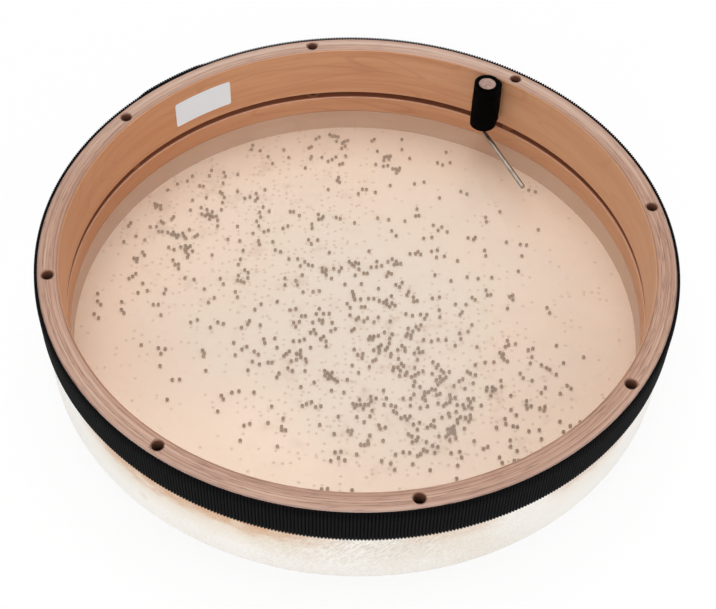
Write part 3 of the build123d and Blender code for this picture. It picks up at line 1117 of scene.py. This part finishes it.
def hexagon_radius(angles, across):
    """Distance from the middle of a hexagon to its outline, for its width across flats."""
    folded = (angles + np.pi / 6) % (np.pi / 3) - np.pi / 6
    return across / 2 / np.cos(folded)


def screw_grid(radius, low, high):
    """Rings up the dog point and the thread, over the chamfer, in to the hexagon and down to its floor."""
    angles = turn(SCREW_SIDES)
    rows = int((high - low) / THREAD_PITCH * ROWS_PER_TURN)
    rise = np.linspace(low, high, rows)[:, None]
    wind = rise / THREAD_PITCH - angles / (2 * np.pi)
    crest = np.abs(2 * (wind % 1) - 1)
    ends = np.clip(np.minimum(rise - low - DOG_LENGTH, high - rise) / SCREW_CHAMFER, 0, 1)
    thread = np.where(rise < low + DOG_LENGTH, DOG_RADIUS, radius - THREAD_DEPTH * (1 - ends * crest))
    hexagon = hexagon_radius(angles, SOCKET_ACROSS)
    socket = np.stack([hexagon * SOCKET_BEVEL, hexagon, hexagon, hexagon * DRILL_POINT_SHARE])
    drop = np.array([0.0, SOCKET_BEVEL_DEPTH, SOCKET_DEPTH, SOCKET_DEPTH + DRILL_POINT])
    ring_radius = np.concatenate([thread, socket])
    ring_height = np.concatenate([rise[:, 0], high - drop])[:, None]
    return spun(ring_radius, ring_height, angles)


def screw_finish(name, pale, dark):
    """Blackened steel, a little oily, mottled between two tones, worn and painted bright at the top as a
    glint.
    """
    steel, point = new_finish(name)
    blotch = steel.noise(point, 700.0, detail=3.0)
    blacking = steel.blend(steel.step(blotch, 0.35, 0.7), pale, dark)
    # painted glint: the top rings are painted bright, beyond their wear
    zone = steel.step(steel.split(point)[2], SCREW_TOP - 0.7 * MM, SCREW_TOP - 0.1 * MM)
    return steel.surface(
        Base_Color=steel.blend(zone, blacking, tone(206, 204, 190)),
        Metallic=0.5,
        Roughness=0.34 + 0.2 * blotch,
    )


# dust, with the colour lightened to the wood's as painted light for the shade of the gap
dust_and_light_steel = screw_finish("screw_dusted", tone(205, 140, 104), tone(176, 116, 84))
black_steel = screw_finish("screw_black_oxide", tone(44, 35, 28), tone(28, 22, 18))
for number in range(1, SCREW_COUNT + 1):
    node = f"tuning_screw_{number}"
    low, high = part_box(node)
    middle = np.array([(low.x + high.x) / 2, (low.y + high.y) / 2, 0.0])
    grid = screw_grid((high.x - low.x) / 2, low.z, high.z) + middle
    steel = black_steel if number == SCREW_COUNT else dust_and_light_steel
    piece = new_piece(f"{node}_thread", *capped_grid(grid), steel, "screw_steel", sharp_degrees=40)
    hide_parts(node)
    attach(piece, node)

# %% [markdown]
# The inserts are turned brass, the discs steel under dust, lightened to the wood's tone as painted
# light for the shade of the gap. Their CAD shapes are right, so they only get their finish: turning
# leaves fine rings, which are a noise drawn out round the axis.

# %% Brass and dusted steel
def turned_metal(name, pale, dark, metallic=1.0):
    """Turned metal: fine rings by height and a slightly uneven polish."""
    metal, point = new_finish(name)
    x, y, z = metal.split(point)
    rings = metal.noise(metal.join(x * 0.1, y * 0.1, z), 2600.0, detail=2.0)
    cloud = metal.noise(point, 300.0, detail=2.0)
    return metal.surface(
        Base_Color=metal.blend(cloud, pale, dark),
        Metallic=metallic,
        Roughness=0.25 + 0.25 * rings,
        Normal=metal.bump(rings, 0.02 * MM, 0.5),
    )


dress("threaded_inserts", turned_metal("insert_brass", tone(214, 180, 110), tone(178, 140, 76)))
# the discs: dust, with the colour lightened as painted light for the shade of the gap
dress("thrust_discs", turned_metal("disc_dust_and_painted_light", tone(200, 136, 102), tone(178, 114, 82), metallic=0.15))
print("brass and steel set")

# %% [markdown]
# ## The tuning key
# A hexagon key with its short leg in a wood handle hangs beside the wall. Its rod is a profile
# carried along a path: down out of the handle, round a bend and level to the tip. A hexagon with
# slightly soft corners is one over a high power mean of its three flat directions, which gives
# the edges the narrow highlight that drawn steel has.

# %% Hexagon rod
KEY_FLATS = 3.0 * MM
KEY_BEND = 4.5 * MM
KEY_CORNER_POWER = 18
KEY_SIDES = 36
KEY_BEND_ROWS = 12
ROD_STATIONS = (0.35, 0.7)
ROD_CHAMFER = 0.3 * MM
ROD_TIP_SHORT = 0.2 * MM
ROD_END_SHRINK = 0.86
rod_points_cad = node_points("key_rod")
dowel_low, dowel_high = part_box("key_dowel")
key_axis = np.array([(dowel_low.x + dowel_high.x) / 2, (dowel_low.y + dowel_high.y) / 2])
away = rod_points_cad[:, :2] - key_axis
rod_reach = np.hypot(*away.T).max()
tip_points = away[np.hypot(*away.T) > rod_reach - 1 * MM]
rod_heading = tip_points.mean(axis=0) / np.hypot(*tip_points.mean(axis=0))
rod_top = rod_points_cad[:, 2].max()
rod_level = rod_points_cad[:, 2].min() + KEY_FLATS / math.sqrt(3)


def soft_hexagon(angles):
    """A hexagon's outline with soft corners, one corner at angle 0."""
    flats = np.pi / 6 + np.arange(3)[:, None] * np.pi / 3
    mean = (np.abs(np.cos(angles - flats)) ** KEY_CORNER_POWER).sum(axis=0) ** (1 / KEY_CORNER_POWER)
    return KEY_FLATS / 2 / mean


def rod_grid():
    """The hexagon carried down, round the bend and out to the tip; rings shrink at both ends."""
    bend_angles = np.linspace(0, np.pi / 2, KEY_BEND_ROWS)
    down = np.array([[0.0, rod_top], [0.0, rod_top - ROD_CHAMFER]])
    bend = np.column_stack([
        KEY_BEND - KEY_BEND * np.cos(bend_angles),
        rod_level + KEY_BEND - KEY_BEND * np.sin(bend_angles),
    ])
    stations = [rod_reach * share for share in ROD_STATIONS]
    stations += [rod_reach - ROD_CHAMFER, rod_reach - ROD_TIP_SHORT]
    run = np.array([[station, rod_level] for station in stations])
    path = np.concatenate([down, bend, run])
    headings = np.concatenate([[0] * len(down), bend_angles, [np.pi / 2] * len(run)])
    shrink = np.ones(len(path))
    shrink[[0, -1]] = ROD_END_SHRINK
    angles = turn(KEY_SIDES)
    outline = soft_hexagon(angles)
    inward = outline * np.cos(angles) * shrink[:, None]
    sideways = outline * np.sin(angles) * shrink[:, None]
    along = path[:, :1] + inward * np.cos(headings)[:, None]
    height = path[:, 1:] + inward * np.sin(headings)[:, None]
    side = np.array([-rod_heading[1], rod_heading[0]])
    flat = key_axis + along[..., None] * rod_heading + sideways[..., None] * side
    return np.concatenate([flat, height[..., None]], axis=-1)


def key_steel_finish():
    """Nickel plated steel: bright, with draw lines along the rod and a faint tarnish."""
    steel, point = new_finish("key_nickel")
    tarnish = steel.noise(point, 120.0, detail=4.0)
    lines = steel.noise(point, 1800.0, detail=2.0)
    return steel.surface(
        Base_Color=steel.blend(steel.step(tarnish, 0.4, 0.8), tone(172, 164, 154), tone(140, 131, 120)),
        Metallic=1.0,
        Roughness=0.16 + 0.14 * lines,
    )


rod = new_piece(
    "key_rod_hexagon", *capped_grid(rod_grid()), key_steel_finish(), "key_steel", sharp_degrees=50
)
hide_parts("key_rod")
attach(rod, "key")

# %% [markdown]
# The handle is a beech dowel. Only its sawn end shows, so its finish is end grain: growth rings
# about a middle that lies off the dowel's own, and the small dark pores of beech.

# %% Dowel end grain
RING_OFFSET = np.array([6 * MM, -4 * MM])
RING_WIDTH = 1.3 * MM
RING_WOBBLE = 1.2 * MM


def dowel_finish():
    """End grain: pale growth rings, off centre, dotted with pores."""
    wood, point = new_finish("dowel_end_grain")
    x, y, _ = wood.split(point)
    middle_x, middle_y = key_axis + RING_OFFSET
    wobble = wood.noise(point, 180.0, detail=3.0)
    distance = wood.length(x - middle_x, y - middle_y) + RING_WOBBLE * wobble
    rings = wood.maths("PINGPONG", distance / RING_WIDTH, 0.5) * 2.0
    pores = wood.step(wood.noise(point, 620.0, detail=3.0, roughness=0.7), 0.44, 0.60)
    colour = wood.blend(0.5 * wood.step(rings, 0.3, 1.0), tone(170, 139, 128), tone(132, 101, 90))
    return wood.surface(
        Base_Color=wood.blend(0.60 * pores, colour, tone(98, 70, 60)),
        Roughness=0.62,
        Normal=wood.bump(rings - pores, 0.06 * MM, 0.4),
    )


dress("key_dowel", dowel_finish())
print("dowel at", np.round(key_axis / MM, 1), "mm")

# %% [markdown]
# A soft black sleeve of looped pile is wrapped round the dowel. It is a tube with rounded ends,
# a little lumpy, as pile is. The end of the wrap laps over its start on the right: it stands out at
# a seam, dies away round the back, and stops short of the sleeve's lower end.

# %% Pile sleeve
SLEEVE_SEAM = math.radians(-62)
SLEEVE_WRAP = 1.3 * MM
SLEEVE_CORE = 0.4 * MM
WRAP_SPAN = (0.12, 0.28)
WRAP_SHORT = 4.5 * MM
WRAP_FADE = 2 * MM
SLEEVE_LUMP = 0.10 * MM
SLEEVE_LUMPS = ((1.0, 9, 500, 0.0), (1.0, 5, -900, 1.0), (1.0, 23, 1700, 0.0))
SLEEVE_ROUNDING = 2.6 * MM
SLEEVE_WAIST = 0.2 * MM
WAIST_START = 0.5
BORE_INSET = 0.2 * MM
SLEEVE_COLUMNS = 96
SLEEVE_ROWS = 30
END_ROWS = 6
SEAM_WIDTH = math.radians(6)
sleeve_low, sleeve_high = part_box("key_sleeve")
sleeve_outer = (sleeve_high.x - sleeve_low.x) / 2
sleeve_bore = np.hypot(*(node_points("key_sleeve")[:, :2] - key_axis).T).min()


def sleeve_grid():
    """Rings up the outside with rounded ends, then back down the bore."""
    angles = turn(SLEEVE_COLUMNS)
    quarter = np.linspace(0, np.pi / 2, END_ROWS)
    inset = SLEEVE_ROUNDING * (1 - np.sin(quarter))
    drop = SLEEVE_ROUNDING * (1 - np.cos(quarter))
    straight = (sleeve_low.z + SLEEVE_ROUNDING, sleeve_high.z - SLEEVE_ROUNDING)
    side = np.linspace(*straight, SLEEVE_ROWS)[1:-1]
    inset = np.concatenate([inset, np.zeros(side.size), inset[::-1]])[:, None]
    rise = np.concatenate([sleeve_low.z + drop[::-1], side, sleeve_high.z - drop])[:, None]
    wound = ((angles - SLEEVE_SEAM) % (2 * np.pi)) / (2 * np.pi)
    full, gone = WRAP_SPAN
    lap = smooth(wound * 2 * np.pi / SEAM_WIDTH) * smooth((gone - wound) / (gone - full))
    lap = lap * smooth((rise - sleeve_low.z - WRAP_SHORT) / WRAP_FADE)
    wrap = SLEEVE_WRAP * lap - SLEEVE_CORE
    lumps = SLEEVE_LUMP * (crossing_waves(angles, rise, SLEEVE_LUMPS) - 1)
    upward = (rise - sleeve_low.z) / (sleeve_high.z - sleeve_low.z)
    waist = SLEEVE_WAIST * smooth((upward - WAIST_START) / (1 - WAIST_START))
    outside = sleeve_outer + wrap - inset - waist + lumps
    bore = np.full((2, angles.size), sleeve_bore)
    bore_rise = np.array([[sleeve_high.z - BORE_INSET], [sleeve_low.z + BORE_INSET]])
    ring_radius = np.concatenate([outside, bore])
    ring_rise = np.concatenate([rise, bore_rise])
    return spun(ring_radius, ring_rise, angles) + np.array([*key_axis, 0.0])


def pile_finish():
    """Soft black pile: nearly no gloss, a fine uneven nap."""
    pile, point = new_finish("black_pile")
    nap = pile.noise(point, 1700.0, detail=3.0, roughness=0.65)
    patch = pile.noise(point, 220.0, detail=2.0)
    return pile.surface(
        Base_Color=pile.blend(pile.step(patch, 0.4, 0.8), tone(2, 2, 2), tone(5, 5, 6)),
        Roughness=0.66 + 0.2 * nap,
        Normal=pile.bump(nap, 0.35 * MM, 0.6),
        Specular_IOR_Level=0.03,
    )


sleeve = new_piece(
    "key_sleeve_pile", *closed_grid(sleeve_grid()), pile_finish(), "black_sleeve", sharp_degrees=60
)
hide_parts("key_sleeve")
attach(sleeve, "key")

# %% [markdown]
# The patch of hook tape behind the sleeve keeps its CAD shape. Its face is a tight field of little
# hooks, which a cell texture gives as bumps.

# %% Hook tape
def hook_tape_finish():
    """Black hook tape: a field of small bumps."""
    tape, point = new_finish("hook_tape")
    cells = tape.node("ShaderNodeTexVoronoi", sockets={"Vector": point, "Scale": 900.0})
    return tape.surface(
        Base_Color=tape.blend(tape.step(cells, 0.1, 0.6), tone(36, 36, 38), tone(14, 14, 15)),
        Roughness=0.55 + 0.2 * cells,
        Normal=tape.bump(1 - cells, 0.3 * MM, 0.7),
    )


dress("key_patch", hook_tape_finish())
print("hook tape set")

# %% [markdown]
# ## A blank sticker
# A small silvery sticker is stuck to the inner wall at the back left. It stays blank. It is a
# rectangle with rounded corners, bent to the wall: inside each corner square, points are drawn in
# towards a quarter circle.

# %% Sticker
STICKER_MIDDLE = math.radians(127.7)
STICKER_LENGTH = 45.5 * MM
STICKER_HEIGHT = 20.5 * MM
STICKER_CORNER = 1.8 * MM
STICKER_BELOW_RIM = 20.8 * MM
STICKER_THICKNESS = 0.12 * MM
STICKER_CLEARANCE = 0.22 * MM
CORNER_MARKS = 7
INNER_MARKS = 25


def ruler(span, corner):
    """Marks along a side, closer together at its two corners, with 0 in the middle."""
    edge = np.linspace(0, 1, CORNER_MARKS) * corner
    inner = np.linspace(corner, span - corner, INNER_MARKS)[1:-1]
    return np.concatenate([edge, inner, span - edge[::-1]]) - span / 2


def rounded_sheet(length, height, corner):
    """A flat grid whose corner squares are drawn in to quarter circles."""
    u, v = np.meshgrid(ruler(length, corner), ruler(height, corner), indexing="ij")
    past_u = np.clip(np.abs(u) - (length / 2 - corner), 0, None)
    past_v = np.clip(np.abs(v) - (height / 2 - corner), 0, None)
    shrink = np.maximum(past_u, past_v) / np.maximum(np.hypot(past_u, past_v), 1e-12)
    shrink = np.where((past_u > 0) & (past_v > 0), shrink, 1.0)
    u = np.sign(u) * (np.abs(u) - past_u * (1 - shrink))
    v = np.sign(v) * (np.abs(v) - past_v * (1 - shrink))
    return u, v


def sticker_shell():
    """The sheet bent to the wall, as a thin closed slab: front, back and a band round the edge."""
    u, v = rounded_sheet(STICKER_LENGTH, STICKER_HEIGHT, STICKER_CORNER)
    angles = STICKER_MIDDLE + u / HOOP_INNER
    height = RIM_TOP - STICKER_BELOW_RIM + v
    depth = HOOP_INNER - STICKER_CLEARANCE
    rows, columns = u.shape
    slab = [spun(depth - lift, height, angles).reshape(-1, 3) for lift in (0.0, STICKER_THICKNESS)]
    sheet = grid_faces(rows, columns, close_columns=False)
    count = rows * columns
    number = np.arange(count).reshape(rows, columns)
    border = np.concatenate([number[:, 0], number[-1, 1:], number[-2::-1, -1], number[0, -2:0:-1]])
    after = np.roll(border, -1)
    band = np.stack([border, after, after + count, border + count], axis=-1)
    return np.concatenate(slab), [np.concatenate([sheet[:, ::-1], sheet + count, band[:, ::-1]])]


def sticker_finish():
    """Silvery paper, slightly glossy, with a faint fibre."""
    paper, point = new_finish("silver_sticker")
    fibre = paper.noise(point, 900.0, detail=4.0)
    return paper.surface(
        Base_Color=paper.blend(fibre, tone(238, 248, 255), tone(226, 238, 250)),
        Roughness=0.30 + 0.1 * fibre,
    )


sticker = new_piece("blank_sticker", *sticker_shell(), sticker_finish())
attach(sticker, "frame")
